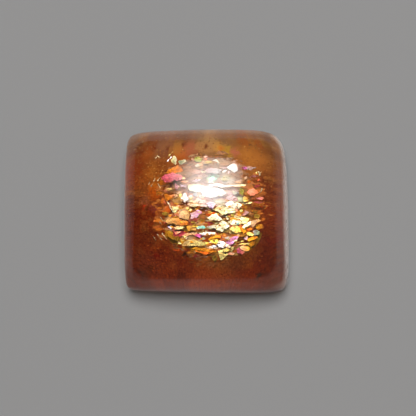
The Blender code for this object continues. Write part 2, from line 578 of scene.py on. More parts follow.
# the body's colour drifts from golden brown at the north side to red brown at the south: partly
# its own colour, partly painted light in the north and painted shade in the south
def bodyColourAndLight(tree, place, smoky=1.0):
    x, y = axesOf(tree, place)[:2]
    north = addRange(tree, y, *bodyLook["span"], kind="LINEAR")
    drift = addMath(tree, "SUBTRACT", addNoise(tree, place, **bodyLook["drift"]), 0.5)
    drift = addMath(tree, "MULTIPLY", drift, bodyLook["driftReach"])
    shade = addRamp(tree, addMath(tree, "ADD", north, drift), bodyLook["northward"])

    # soft flecks of olive gold, mostly in the north, and redder smoke between them
    gold = addRamp(tree, addNoise(tree, place, **bodyLook["goldFlecks"]), bodyLook["goldShare"])
    shade = addMix(tree, "MIX", addMath(tree, "MULTIPLY", gold, north), shade, bodyLook["gold"])
    smoke = addRamp(tree, addNoise(tree, place, **bodyLook["smoke"]), bodyLook["smokeTones"])
    shade = addMix(tree, "MULTIPLY", smoky, shade, smoke)

    # painted shade: darker towards the rim, in a rounded square, but for the south side, where the light
    # gathers
    power = bodyLook["squareness"]
    outward = addMath(tree, "POWER", addMath(tree, "ABSOLUTE", x), power)
    northern = addMath(tree, "POWER", addMath(tree, "MAXIMUM", y, 0.0), power)
    square = addMath(tree, "POWER", addMath(tree, "ADD", outward, northern), 1 / power)
    rim = addRange(tree, square, *bodyLook["rimShadeSpan"])
    return addMix(tree, "MULTIPLY", 1.0, shade, addRamp(tree, rim, [(0.0, 1.0), (1.0, bodyLook["rim"])]))


# bends a ray by Snell's law as it enters the stone
def enter(ray, normal):
    ratio = 1 / stoneLook["ior"]
    cosIn = -ray.dot(normal)
    cosOut = math.sqrt(1 - ratio * ratio * (1 - cosIn * cosIn))
    return (ray * ratio + normal * (ratio * cosIn - cosOut)).normalized()


# where a pixel's line of sight meets the dome, and its way on inside
def lookIn(skin, px, py):
    eye, ray = sightLine(px, py)
    hit, normal, face, distance = skin.ray_cast(eye, ray)
    return hit, enter(ray, normal)


# the place on the base that the camera sees through the dome at a pixel
def onBase(skin, px, py):
    hit, way = lookIn(skin, px, py)
    return (hit - way * (hit.z / way.z)) / mm


def baseMaterial(skin):
    material, tree, shader = newMaterial("groundBase")
    place = inMillimetres(tree)
    plain = addRange(tree, axesOf(tree, place)[1], *baseLook["plainSpan"])
    smoky = addMath(tree, "MULTIPLY", plain, 1 - baseLook["leastSmoke"])
    smoky = addMath(tree, "ADD", smoky, baseLook["leastSmoke"])
    veins = addRamp(tree, addNoise(tree, place, **baseLook["veins"]), baseLook["veinShare"])
    colour = addMix(tree, "MIX", veins, bodyColourAndLight(tree, place, smoky), baseLook["dark"])

    # each cloud is ragged, and as much drawn in as the dome will draw it out
    rags = addNode(tree, "ShaderNodeTexNoise")
    setSockets(tree, rags, {"Vector": place, **baseLook["rags"]})
    sway = addNode(tree, "ShaderNodeCombineXYZ")
    eastReach, northReach = baseLook["ragReach"]
    northShare = addMath(tree, "ADD", plain, baseLook["leastRag"])
    feed(tree, sway.inputs[0], eastReach)
    feed(tree, sway.inputs[1], addMath(tree, "MULTIPLY", northShare, northReach))
    centred = addVector(tree, "SUBTRACT", rags.outputs["Color"], (0.5, 0.5, 0.5))
    ragged = addVector(tree, "MULTIPLY_ADD", centred, sway.outputs[0], place)
    probe = baseLook["probe"]
    for cloud, (px, py), reach, strength in clouds:
        wide = onBase(skin, px + probe, py) - onBase(skin, px - probe, py)
        tall = onBase(skin, px, py + probe) - onBase(skin, px, py - probe)
        sizes = [max(way.length / baseLook["probeReach"], baseLook["leastSize"]) for way in (wide, tall)]
        shrink = [1 / (reach * size) for size in sizes]
        near = addSpot(tree, ragged, onBase(skin, px, py), shrink, strength)
        colour = addMix(tree, "MIX", near, colour, cloud)
    grit = addRamp(tree, addNoise(tree, place, **baseLook["grit"]), baseLook["gritTones"])
    colour = addMix(tree, "MULTIPLY", plain, colour, grit)
    setSockets(tree, shader, {
        "Base Color": colour, "Roughness": baseLook["roughness"], "Specular IOR Level": 0.0})
    tooth = addNoise(tree, place, **baseLook["tooth"])
    addBump(tree, shader, tooth, baseLook["toothStrength"], baseLook["toothDepth"] * mm)
    return material


# the platelets lie along one plane of the crystal, which leans a little towards +Y and +X and
# is gently bowed: the bow is the change of lean in each mm
crystal = {"north": math.radians(8.0), "east": math.radians(5.0), "bow": math.radians(1.5)}

# colours that the films on the platelets throw back
hues = {
    "bronze": (0.30, 0.09, 0.013), "olive": (0.38, 0.22, 0.026),
    "amber": (0.68, 0.21, 0.017), "ember": (0.75, 0.11, 0.010), "gold": (0.87, 0.40, 0.02),
    "yellow": (0.97, 0.72, 0.10), "straw": (0.98, 0.86, 0.31), "cream": (1.0, 0.94, 0.61),
    "white": (0.9, 0.9, 0.9), "mint": (0.61, 0.96, 0.75), "leaf": (0.58, 0.68, 0.16),
    "teal": (0.22, 0.75, 0.68), "sage": (0.31, 0.40, 0.19), "steel": (0.31, 0.31, 0.33),
    "lilac": (0.83, 0.68, 0.96), "orchid": (0.79, 0.26, 0.68), "magenta": (0.58, 0.06, 0.22),
    "rose": (0.68, 0.07, 0.11), "pink": (0.96, 0.35, 0.43), "blush": (0.96, 0.65, 0.65),
    "coral": (0.83, 0.26, 0.13), "peach": (0.96, 0.58, 0.31), "tan": (0.68, 0.40, 0.14),
    "maroon": (0.19, 0.026, 0.021), "fuchsia": (0.92, 0.40, 0.74),
}

# hue at the left, hue at the right, brightness, and the outline in pixels as the camera sees it
plates = {
    "paleHair": ("white", "white", 0.8, [(167, 161.5), (168, 161.5), (172, 157), (171, 156.5)]),
    "strawHair": ("straw", "straw", 0.4, [(168.5, 156), (169.5, 156), (173, 152), (172, 152)]),
    "creamBlade": ("straw", "cream", 0.36, [
        (175, 155.5), (176.5, 158), (176.5, 163.5), (175, 165), (172.5, 163), (171, 161.5),
        (173, 156.5)]),
    "greenSmoke": ("sage", "cream", 0.5, [
        (178, 161), (181, 160), (184.5, 159), (186, 161.5), (182, 164.5), (179, 163.5)]),
    "goldFlame": ("amber", "amber", 0.5, [
        (166, 173), (167.5, 170.5), (172, 167.5), (177.5, 165), (180.5, 165.5), (181.5, 168), (183, 171),
        (179, 172.5), (172, 173)]),
    "roseTongue": ("rose", "pink", 0.43, [
        (161, 177.5), (165, 174.5), (172.5, 172.5), (180.5, 174.5), (182.5, 177), (180.5, 180),
        (177.5, 181), (174.5, 179), (171.5, 182), (165, 182)]),
    "peachTip": ("peach", "peach", 0.7, [(182.5, 176.5), (185.5, 178.5), (182, 179.5)]),
    "salmonThread": ("coral", "peach", 0.5, [(179, 181.5), (184, 180.5), (189, 181), (184, 183)]),
    "pinkChip": ("pink", "blush", 0.6, [
        (175, 183), (177.5, 185), (179.5, 186.5), (177.5, 189), (175, 188)]),
    "dullLilac": ("lilac", "blush", 0.3, [(180, 184.5), (186.5, 184.5), (186, 187.5), (180.5, 187)]),
    "creamShelf": ("cream", "cream", 0.6, [
        (187.5, 184.5), (199, 184), (204, 186), (204, 191.5), (196, 192), (190, 190.5)]),
    "whiteHeartland": ("white", "white", 0.62, [
        (200, 186.5), (210, 185.5), (218, 188), (224, 190.5), (227, 193.5), (222, 196), (212, 197.5),
        (204, 196.5), (200.5, 192)]),
    "whiteStar": ("white", "white", 1.0, [
        (185, 192.5), (186.5, 195.5), (189.5, 199), (186.5, 200.5), (185, 203), (183, 199.5),
        (180.5, 198.5), (182.5, 196)]),
    "greyCrinkle": ("steel", "steel", 0.5, [
        (192.5, 194), (196, 192.5), (199, 194), (197, 196.5), (193.5, 196.5)]),
    "palerCrinkle": ("steel", "cream", 0.6, [
        (199, 196), (202, 194.5), (205, 196), (203, 198.5), (200, 198.5)]),
    "whiteCrinkle": ("white", "steel", 0.7, [(188.5, 196), (191, 194.5), (193, 197), (190.5, 198.5)]),
    "blushCrinkle": ("blush", "white", 0.35, [(196, 199), (199, 197.8), (201.5, 199.3), (198, 200.4)]),
    "yellowChip": ("yellow", "straw", 1.0, [(179, 194), (182, 194), (182, 197.5), (179.5, 197.5)]),
    "peachChip": ("peach", "peach", 0.9, [(173.5, 195), (176.5, 194.5), (178, 196), (175, 198)]),
    "orangeFunnel": ("amber", "amber", 0.68, [
        (163.5, 194), (168, 194.5), (172.5, 197), (169.5, 200), (166.5, 201.5), (165, 198)]),
    "westAmber": ("amber", "amber", 0.55, [
        (156, 191), (159, 190.5), (163, 193), (161, 195.5), (156.5, 194.5)]),
    "tanThread": ("tan", "straw", 0.8, [(166.5, 189), (170, 188), (173, 189), (169, 190)]),
    "bladeOfSteel": ("cream", "cream", 0.75, [(166.5, 201.5), (168, 202), (174.5, 212.5), (173.5, 213)]),
    "creamTriangle": ("straw", "cream", 0.8, [(171.5, 205.5), (179.5, 208.5), (174.5, 213), (173, 210)]),
    "peachShelf": ("peach", "peach", 0.5, [
        (187.5, 203.5), (191, 201), (195, 199.5), (199, 199.5), (198, 206), (194.5, 207.5),
        (190.5, 206)]),
    "peachDoor": ("peach", "blush", 0.42, [
        (199.5, 199.5), (206, 201), (207.5, 206.5), (202, 207.5), (199, 206)]),
    "lilacKnot": ("lilac", "lilac", 0.85, [
        (206.5, 203), (210, 201.5), (213.5, 202), (216, 204), (213, 208.5), (209, 207.5)]),
    "mintStar": ("mint", "teal", 0.55, [
        (208.5, 178), (211, 175), (214, 176.5), (217.5, 178.5), (214.5, 179.5), (211.5, 181.5)]),
    "mintFoot": ("white", "white", 0.4, [(207.5, 183), (209.5, 181), (213, 181.5), (215, 183.5)]),
    "lilacBand": ("blush", "white", 0.45, [
        (205, 170), (210, 168), (217, 168.5), (222, 170.5), (216, 173.5), (208, 173)]),
    "creamStreak": ("cream", "cream", 0.3, [(200, 171.5), (208, 170), (208, 172.5), (202, 173)]),
    "greenSeed": ("leaf", "leaf", 0.5, [
        (194, 159.5), (196, 157), (199, 156.5), (202, 158.5), (201, 161.5), (197, 162)]),
    "salmonHair": ("peach", "blush", 0.5, [(202, 157), (205, 155.5), (209, 156), (206, 157.5)]),
    "emberHair": ("coral", "coral", 0.5, [(202.5, 159), (206, 158), (209, 158.5), (205, 160)]),
    "peachRidge": ("peach", "yellow", 0.26, [
        (201.5, 162), (207, 160.5), (213.5, 161.5), (212, 164), (204, 164.5)]),
    "creamDash": ("cream", "cream", 0.35, [(195, 165.5), (198, 164), (200.5, 165.5), (197, 167)]),
    "blushStreak": ("blush", "peach", 0.3, [(198, 176), (203, 174.5), (208, 175.5), (203, 177.5)]),
    "palePetal": ("blush", "lilac", 0.35, [(191.5, 181), (196, 179), (201, 179.5), (196, 182)]),
    "whiteCurl": ("white", "cream", 0.35, [
        (212, 160), (215, 159), (218, 160.5), (220, 163.5), (218, 165), (217.5, 162.5), (214.5, 161)]),
    "whiteArrow": ("white", "white", 0.66, [
        (226.5, 167.5), (230, 165), (233.5, 163.5), (236.5, 164.5), (237.5, 167), (237, 171),
        (234.5, 172.5), (231.5, 171)]),
    "creamRung": ("cream", "white", 0.4, [(221.5, 172), (224, 170), (227, 170.5), (225, 173)]),
    "peachRung": ("peach", "blush", 0.3, [(219, 167.5), (223, 166.5), (227, 167.5), (223, 169.5)]),
    "pinkDot": ("blush", "blush", 0.8, [(227.5, 172), (229, 170.5), (230, 172), (228.5, 173.5)]),
    "magentaDrop": ("magenta", "orchid", 0.55, [
        (241.5, 167.5), (244, 166.5), (247, 167), (246, 169.5), (243.5, 169.5)]),
    "smokeTail": ("blush", "steel", 0.38, [
        (247, 166.5), (252, 166.5), (256.5, 168), (252, 169.5), (247, 170)]),
    "eastSpeck": ("straw", "straw", 0.6, [(255.5, 172.5), (257, 171.5), (257.5, 173.5), (256, 174)]),
    "eastHair": ("cream", "cream", 0.6, [(258, 171.5), (259, 171.5), (261, 175.5), (260, 175.5)]),
    "roseArc": ("coral", "pink", 0.22, [(249, 177), (253, 175), (259, 176.5), (254, 177)]),
    "peachNub": ("peach", "peach", 0.5, [(243.5, 178.5), (246.5, 176), (247, 178.5), (245, 180)]),
    "peachWing": ("peach", "peach", 0.5, [
        (233, 181), (238, 180.5), (242.5, 179), (240.5, 183.5), (235, 183.5)]),
    "paleLemon": ("straw", "cream", 0.3, [
        (221.5, 178), (224, 176.5), (229, 179.5), (226, 181), (223, 181.5)]),
    "longNeedle": ("white", "cream", 0.7, [
        (207, 184.5), (220, 183.5), (228, 185.3), (246, 184.3), (245.5, 186), (228, 186.7), (220, 187)]),
    "blushSlope": ("blush", "blush", 0.42, [
        (226.5, 196), (232, 195), (238, 199), (237, 201), (230, 200.5), (226, 199)]),
    "paleSlope": ("cream", "steel", 0.4, [(231, 191), (236, 190.5), (239, 194), (234, 194.5)]),
    "oliveSlope": ("olive", "leaf", 0.5, [
        (239, 189), (242, 188), (244.5, 191), (243, 196), (239.5, 194)]),
    "peachEgg": ("coral", "coral", 0.6, [
        (246.7, 191.7), (249, 189.4), (253, 188.3), (257, 190.2), (258.3, 192.5), (254.5, 195.2),
        (250.5, 195.6), (248, 194)]),
    "eggHair": ("cream", "cream", 0.25, [
        (258, 193), (260.5, 191), (262, 187.5), (262.8, 188), (261, 192)]),
    "plumShade": ("maroon", "maroon", 0.8, [
        (253, 187), (256, 184.5), (260, 184), (259.5, 187), (256, 188)]),
    "orangeSpark": ("ember", "amber", 0.55, [(247, 182), (249.5, 180), (251.5, 182), (249, 183.5)]),
    "emberSpark": ("ember", "coral", 0.6, [(256.5, 180), (259, 178.5), (260.5, 180.5), (258, 181.5)]),
    "yellowGable": ("straw", "gold", 0.64, [
        (243, 199), (244.5, 196), (247, 197.5), (248.5, 201), (244, 202)]),
    "roseEast": ("pink", "coral", 0.5, [
        (256, 198), (260, 197), (264, 197.5), (262.5, 199.5), (258, 199)]),
    "roseEastLow": ("rose", "coral", 0.4, [(253, 202.5), (258, 201), (264, 202), (259, 203.5)]),
    "creamSill": ("cream", "straw", 0.85, [
        (242.5, 203), (246, 202.5), (252.5, 202.2), (250, 204), (244.5, 204.3)]),
    "creamCloud": ("white", "cream", 0.85, [
        (225.5, 203), (231, 201), (236.5, 202), (242.5, 205), (239, 208.5), (234.5, 210), (229, 208),
        (226, 206.5)]),
    "paleField": ("straw", "cream", 0.8, [
        (213.5, 210), (218, 206), (225, 206.5), (234.5, 209), (234, 212.5), (227, 213.5), (222.5, 215),
        (219, 212)]),
    "peachStep": ("peach", "coral", 0.8, [(234, 210), (236.5, 208.2), (238.5, 210), (236.5, 212)]),
    "lemonChip": ("straw", "leaf", 0.8, [(239.5, 210.5), (241.5, 209), (243, 211), (240.5, 212)]),
    "pinkBow": ("coral", "blush", 0.3, [
        (241.5, 214.5), (245, 210.5), (249.5, 212.5), (246.5, 214.5), (243.5, 216)]),
    "goldStep": ("gold", "peach", 0.9, [(238, 215), (240, 213), (242, 215), (240, 216.5)]),
    "goldWindow": ("peach", "tan", 0.62, [
        (179, 211), (180.5, 209), (186, 208.5), (189, 212.5), (189, 219.5), (185, 219), (179, 217.5)]),
    "strawBead": ("straw", "straw", 0.9, [(188.5, 210), (190.5, 208.8), (192.3, 210), (190.5, 211.5)]),
    "orchidKite": ("blush", "fuchsia", 0.75, [
        (190.5, 219), (190.5, 213), (194.5, 212), (197.3, 208.8), (202, 212.3), (196.5, 217.5)]),
    "roseFoot": ("rose", "coral", 0.5, [(190.5, 219.5), (196, 218), (200, 219), (195, 221.5)]),
    "oliveWest": ("olive", "olive", 0.55, [
        (161.5, 213), (165, 211.5), (169, 213), (167, 215.5), (162.5, 215.5)]),
    "goldFish": ("tan", "amber", 0.66, [
        (164.8, 222), (167, 219), (171.5, 217.8), (177.5, 217.8), (183, 219), (188, 221.5), (188, 225),
        (183, 225.8), (177.5, 225.3), (174.5, 223.5), (167.5, 223.5)]),
    "creamRibbon": ("peach", "straw", 0.9, [
        (173.5, 227.5), (177.5, 226.2), (186, 226.8), (181, 228.8), (176, 229)]),
    "steelSpark": ("lilac", "white", 0.8, [
        (167, 225.8), (170.5, 224.8), (172.5, 227), (171, 229.5), (169, 228)]),
    "roseSpark": ("rose", "peach", 1.1, [
        (172.5, 229.5), (177.5, 229), (181, 231.5), (177.5, 234), (175.5, 234.8), (173.5, 231.5)]),
    "darkGold": ("gold", "olive", 0.65, [
        (166, 234), (168.5, 231), (173, 232), (174, 236), (179, 236), (177.5, 241), (174, 240.5),
        (169, 237.5)]),
    "goldLedge": ("gold", "tan", 0.7, [
        (186, 226), (191, 225.5), (196, 226.5), (196.2, 230), (188.5, 231)]),
    "tealFish": ("mint", "teal", 0.85, [
        (196.2, 228), (199, 225.8), (204, 225.3), (206, 227.2), (202.5, 228.8), (198, 229)]),
    "creamLane": ("white", "cream", 1.2, [
        (206, 227), (211, 225.5), (216, 224.5), (216, 228), (211, 228.5)]),
    "salmonRow": ("peach", "peach", 1.2, [
        (182, 236), (185, 233.5), (190.5, 231.8), (197.5, 231.8), (198, 234), (190.5, 235.2),
        (186.5, 236.5)]),
    "creamPips": ("peach", "cream", 0.6, [(183.5, 237.5), (186, 236.5), (188, 237.5), (185.5, 238.8)]),
    "magentaFlame": ("rose", "orchid", 0.75, [(194.5, 235.3), (197.5, 233.8), (204, 235.3), (200, 238)]),
    "whiteSplinter": ("white", "cream", 0.92, [
        (198.5, 233), (204, 232.2), (215.5, 232.3), (215, 234), (206, 235.5), (200.5, 234.3)]),
    "goldBar": ("tan", "straw", 0.58, [
        (181.3, 245), (184.5, 241.5), (189.7, 239.4), (195, 240.5), (200, 241.5), (200, 246),
        (190.5, 245.7), (184.3, 246.3)]),
    "strawBar": ("straw", "yellow", 0.9, [
        (200.2, 241.6), (205, 242), (209.3, 242.8), (206, 244.7), (200.2, 246)]),
    "orangeCap": ("gold", "amber", 0.95, [
        (208, 239.8), (211, 237), (216, 234.8), (221, 235.6), (220.5, 238.2), (214, 238)]),
    "yellowDiamond": ("yellow", "yellow", 1.15, [
        (207.7, 240.2), (213.5, 238.3), (218.3, 239.8), (217, 244.5)]),
    "amberRow": ("gold", "amber", 0.72, [
        (190.8, 248.2), (194.5, 247.3), (201, 247.8), (207, 248.6), (213.5, 249.4), (216, 251),
        (211.5, 253), (204, 251)]),
    "emberRow": ("amber", "ember", 0.85, [
        (194.5, 250.5), (203.5, 251.3), (211, 253.3), (206, 255), (200, 253)]),
    "whiteRung": ("peach", "white", 0.9, [
        (205.5, 247.5), (210.5, 246), (216, 246.3), (216.5, 247.8), (211.5, 248.4)]),
    "creamLeaf": ("cream", "cream", 0.74, [
        (207, 217.8), (211.8, 214.2), (216.8, 213), (218.3, 215.5), (222.8, 220), (219, 220.8),
        (214.5, 219.5), (210.3, 220.5)]),
    "salmonGap": ("coral", "coral", 0.45, [
        (225, 218), (227.3, 215.3), (231, 213.8), (234, 214.6), (230, 217.8), (228.3, 220.3),
        (226, 219.5)]),
    "broadStraw": ("cream", "straw", 0.8, [
        (230.2, 219.5), (235.5, 214.8), (240, 216.5), (249.5, 218.4), (247.5, 221.3), (246, 224),
        (241, 223.8), (236, 225.4), (230.2, 224.5)]),
    "mintDrop": ("mint", "mint", 0.8, [(235.5, 223.5), (238, 221.5), (240, 223), (238, 225)]),
    "whiteRidge": ("cream", "cream", 0.88, [
        (222.5, 220.5), (226, 222), (229.3, 223.5), (229.8, 226.8), (226, 228.6), (222.5, 231.8),
        (219, 230.2), (213, 228.9), (208.5, 228.6), (212, 226.8), (217, 225.4), (219.5, 222.5)]),
    "yellowEye": ("straw", "gold", 0.92, [
        (229, 228.8), (233, 226.2), (237.2, 225.8), (241.5, 228.5), (242.5, 231), (237, 233),
        (233, 232.3)]),
    "orangeLink": ("amber", "gold", 0.9, [
        (239.5, 226.2), (242.3, 228), (246, 231.4), (243.8, 233.8), (242.2, 231.5)]),
    "whiteTick": ("cream", "cream", 0.9, [
        (242, 227), (247.5, 222.8), (251.3, 221), (250.5, 224.8), (246.5, 226.5), (244, 229)]),
    "tanGable": ("peach", "tan", 0.65, [
        (250.7, 221.8), (254, 220.2), (259, 219), (261, 221), (256, 223.5), (253, 227), (250.7, 225)]),
    "eastOlive": ("bronze", "olive", 0.4, [(250.5, 212.5), (254, 210), (258, 211), (256, 213.5)]),
    "eastGold": ("olive", "olive", 0.42, [
        (253, 215), (257, 213.5), (260.5, 216), (258.5, 219), (254.5, 217.5)]),
    "emberPeak": ("ember", "amber", 1.0, [
        (246.2, 229.5), (248.5, 227), (251.3, 226.8), (252.2, 229.5), (249.3, 231.2)]),
    "eastAmber": ("gold", "bronze", 0.7, [
        (254, 226.5), (258, 224), (262.5, 224.2), (263.5, 228), (258.5, 229.5)]),
    "sageTail": ("steel", "sage", 0.7, [
        (252.8, 231.3), (256, 230), (259.7, 231.8), (259.3, 234.3), (255.5, 235.3)]),
    "lemonTongue": ("yellow", "straw", 1.0, [
        (245.2, 232.8), (250.5, 231.8), (254.8, 235), (250.3, 236), (247.4, 235)]),
    "goldTongue": ("gold", "amber", 0.88, [
        (247.3, 239.5), (250.8, 236.9), (255.3, 236.3), (258, 237), (254, 239.5), (248.6, 241.5)]),
    "lilacSpark": ("lilac", "blush", 0.75, [
        (244, 238.5), (246.3, 236), (248, 237.5), (247, 240), (245.3, 239.5)]),
    "orchidBlade": ("fuchsia", "fuchsia", 0.5, [
        (225.6, 242.3), (228, 240.5), (231, 237.8), (235, 236.3), (235, 240.8), (230, 245.7),
        (228.2, 244)]),
    "blushBlade": ("orchid", "peach", 0.9, [
        (235.2, 236.2), (239.5, 235.4), (237.3, 238.8), (235.2, 240.6)]),
    "whiteWedge": ("white", "white", 0.8, [(224.8, 238), (227, 236.6), (229.5, 237.5), (227, 239.2)]),
    "lemonNeedle": ("straw", "straw", 0.95, [
        (238, 245), (241, 243.3), (249.8, 243.2), (249.5, 244.3), (242.3, 244.6)]),
    "oliveNeedle": ("leaf", "straw", 0.6, [(239.5, 241.5), (242, 240.4), (244.3, 241), (242, 242)]),
    "lowAmber": ("gold", "amber", 0.38, [
        (249.2, 244.5), (251, 242), (255, 241), (254.5, 244.5), (251, 247)]),
    "whiteBlade": ("white", "white", 1.5, [
        (216.5, 244), (218.5, 241), (220.7, 240.4), (224, 241.7), (229.3, 246), (224.5, 247.3),
        (219, 247.5)]),
    "whiteSlip": ("steel", "white", 0.9, [(210.5, 246), (213.5, 244.8), (216, 246), (213, 246.9)]),
    "tanScale": ("straw", "straw", 0.85, [
        (218, 250.5), (221, 250), (224.5, 251), (228, 253), (226.5, 256), (223.5, 259), (220.3, 260),
        (219, 255)]),
    "strawScale": ("straw", "yellow", 1.0, [
        (221.8, 250), (226.3, 248), (229.5, 249), (228.3, 251), (224.2, 251.8)]),
    "oliveSlash": ("olive", "straw", 0.5, [(229.6, 252), (231.7, 246.8), (233.7, 247), (232, 252)]),
    "peachFan": ("peach", "gold", 0.95, [
        (239.8, 246.8), (244.3, 245.8), (249.4, 247.8), (249, 251), (245.5, 251.4), (241.7, 249.5)]),
    "wineFan": ("magenta", "coral", 0.6, [
        (236.2, 249.2), (239.6, 247.3), (241.5, 250.3), (245.2, 252.3), (242.5, 254.5), (238.2, 253.3)]),
    "peachHem": ("coral", "peach", 0.8, [(227, 254.5), (230.5, 252.5), (234.5, 253), (232, 255.5)]),
    "oliveLow": ("olive", "olive", 0.62, [
        (211.5, 257), (215, 255), (218, 258), (215, 262.5), (212, 260)]),
}

# deeper ones, that show between the platelets where they lie closest
underPlates = {
    "strawGround": ("straw", "tan", 0.55, [
        (213, 209), (220, 204.5), (230, 202.5), (242, 204.5), (238, 211), (228, 216), (219, 213.5)]),
    "ridgeGround": ("straw", "gold", 0.55, [
        (206, 227.5), (216, 224), (223, 219), (230, 214.5), (240, 214.5), (250.5, 218.5), (249, 225),
        (246, 232), (240, 234.5), (228, 232.5), (218, 232), (209, 229.5)]),
    "eastGround": ("gold", "olive", 0.55, [
        (243, 236), (250, 231.5), (258, 230.5), (262, 234), (259.5, 240), (255, 246.5), (249, 250),
        (244, 247), (249, 240.5)]),
    "fishGround": ("tan", "gold", 0.6, [
        (163, 221), (172, 217.3), (188, 219.5), (197, 225), (197.5, 231.5), (188, 231.5), (176, 227)]),
    "westGround": ("gold", "olive", 0.55, [
        (164.5, 229), (170, 230.5), (176, 236), (183, 239.5), (180.5, 245), (172, 243), (166, 237.5)]),
    "rowGround": ("peach", "tan", 0.55, [
        (181, 238.5), (189, 232.5), (199, 232), (207, 235.5), (203, 240), (190, 240)]),
    "hemGround": ("gold", "tan", 0.5, [
        (188, 247.5), (200, 246.5), (216, 247), (228, 247.5), (240, 246.5), (250, 247), (249, 252),
        (240, 255), (228, 256.5), (212, 256), (199, 253.5), (191, 250.5)]),
}

# fine bright hairs at the edges of the zone: both ends in pixels
hairs = [
    ((160.5, 217.3), (163.3, 221.2)), ((159.3, 221.6), (161.8, 224.4)), ((162.1, 233.2), (166.8, 239.2)),
    ((159.7, 237.4), (162.2, 240.0)), ((157.4, 181.2), (160.3, 177.0)), ((153.6, 181.5), (155.0, 178.5)),
    ((158.0, 183.6), (160.4, 188.0)), ((155.5, 158.5), (157.5, 156.0)), ((157.8, 155.6), (160.2, 158.0)),
    ((153.5, 236.5), (156.0, 240.5)), ((157.0, 234.0), (159.0, 236.6)), ((148.5, 184.5), (150.0, 181.5)),
    ((259.0, 175.5), (261.5, 171.5)), ((151.0, 187.0), (152.5, 183.5)),
]

plateLook = {
    "thickness": 0.02,              # mm
    "depth": (0.45, 1.15),          # how far below the dome, in mm
    "wobble": 1.5,                  # how far each one strays from the crystal's plane, in degrees
    "underDepth": 1.3,
    # strength, metal and roughness of the film, on the platelets and on the deeper ones
    "film": (0.30, 0.85, 0.20),
    "underFilm": (0.36, 0.5, 0.42),
    "hairWidth": 0.7,               # pixels
    "hairTones": ("cream", "tan", 0.45),    # hue at the left, at the right, and brightness
    # breaks along an edge: one in so many pixels, at most so many, and how far they stray
    # along it and off it
    "breakEvery": 2.2,
    "mostBreaks": 3,
    "breakStray": 0.25,
    "breakDepth": 0.55,
    "seed": 3,
}


# breaks the long edges of an outline, as the edges of a cleaved flake are
def roughen(outline, chance):
    rough = []
    for (x0, y0), (x1, y1) in zip(outline, outline[1:] + outline[:1]):
        along, across = x1 - x0, y1 - y0
        length = math.hypot(along, across)
        breaks = min(int(length / plateLook["breakEvery"]), plateLook["mostBreaks"])
        rough.append((x0, y0))
        for step in range(1, breaks + 1):
            stray = chance.uniform(-plateLook["breakStray"], plateLook["breakStray"])
            share = (step + stray) / (breaks + 1)
            off = chance.uniform(-1, 1) * plateLook["breakDepth"] / length
            rough.append((x0 + along * share - across * off, y0 + across * share + along * off))
    return rough


# lays a thin flat platelet in the stone so that the camera sees it with this outline
def layPlate(name, skin, outline, left, right, shine, depth, stray):
    middle = [sum(point[axis] for point in outline) / len(outline) for axis in (0, 1)]
    hit, way = lookIn(skin, *middle)
    centre = hit + way * (depth * mm)
    east = crystal["east"] + crystal["bow"] * centre.x / mm + stray[0]
    north = crystal["north"] + crystal["bow"] * centre.y / mm + stray[1]
    normal = Vector((math.tan(east), math.tan(north), 1)).normalized()
    corners = []
    for px, py in outline:
        hit, way = lookIn(skin, px, py)
        corners.append(hit + way * ((centre - hit).dot(normal) / way.dot(normal)))
    plate = makeFlat(name, corners)
    film = plate.data.attributes.new("film", "FLOAT_COLOR", "POINT")
    west = min(point[0] for point in outline)
    width = max(point[0] for point in outline) - west
    for item, (px, py) in zip(film.data, outline):
        share = (px - west) / width
        colour = [shine * (a + (b - a) * share) for a, b in zip(hues[left], hues[right])]
        item.color = (*colour, 1)
    thicken(normal * (-plateLook["thickness"] * mm))
    return plate


def makePlates(skin):
    chance = random.Random(plateLook["seed"])
    breakage = random.Random(plateLook["seed"] + 1)

    def lay(name, outline, left, right, shine, depth=None):
        depth = depth or chance.uniform(*plateLook["depth"])
        wobble = math.radians(plateLook["wobble"])
        stray = (chance.gauss(0, wobble), chance.gauss(0, wobble))
        return layPlate(name, skin, outline, left, right, shine, depth, stray)

    upper = []
    for name, (left, right, shine, outline) in plates.items():
        upper.append(lay(name, roughen(outline, breakage), left, right, shine))
    for (x0, y0), (x1, y1) in hairs:
        across = Vector((y0 - y1, x1 - x0)).normalized() * plateLook["hairWidth"] / 2
        outline = [(x0 + across.x, y0 + across.y), (x0 - across.x, y0 - across.y),
                   (x1 - across.x, y1 - across.y), (x1 + across.x, y1 + across.y)]
        upper.append(lay("hair", outline, *plateLook["hairTones"]))
    under = []
    for name, (left, right, shine, outline) in underPlates.items():
        under.append(lay(name, roughen(outline, breakage), left, right, shine, plateLook["underDepth"]))
    return [joinAs("platelets", upper), joinAs("underPlatelets", under)]


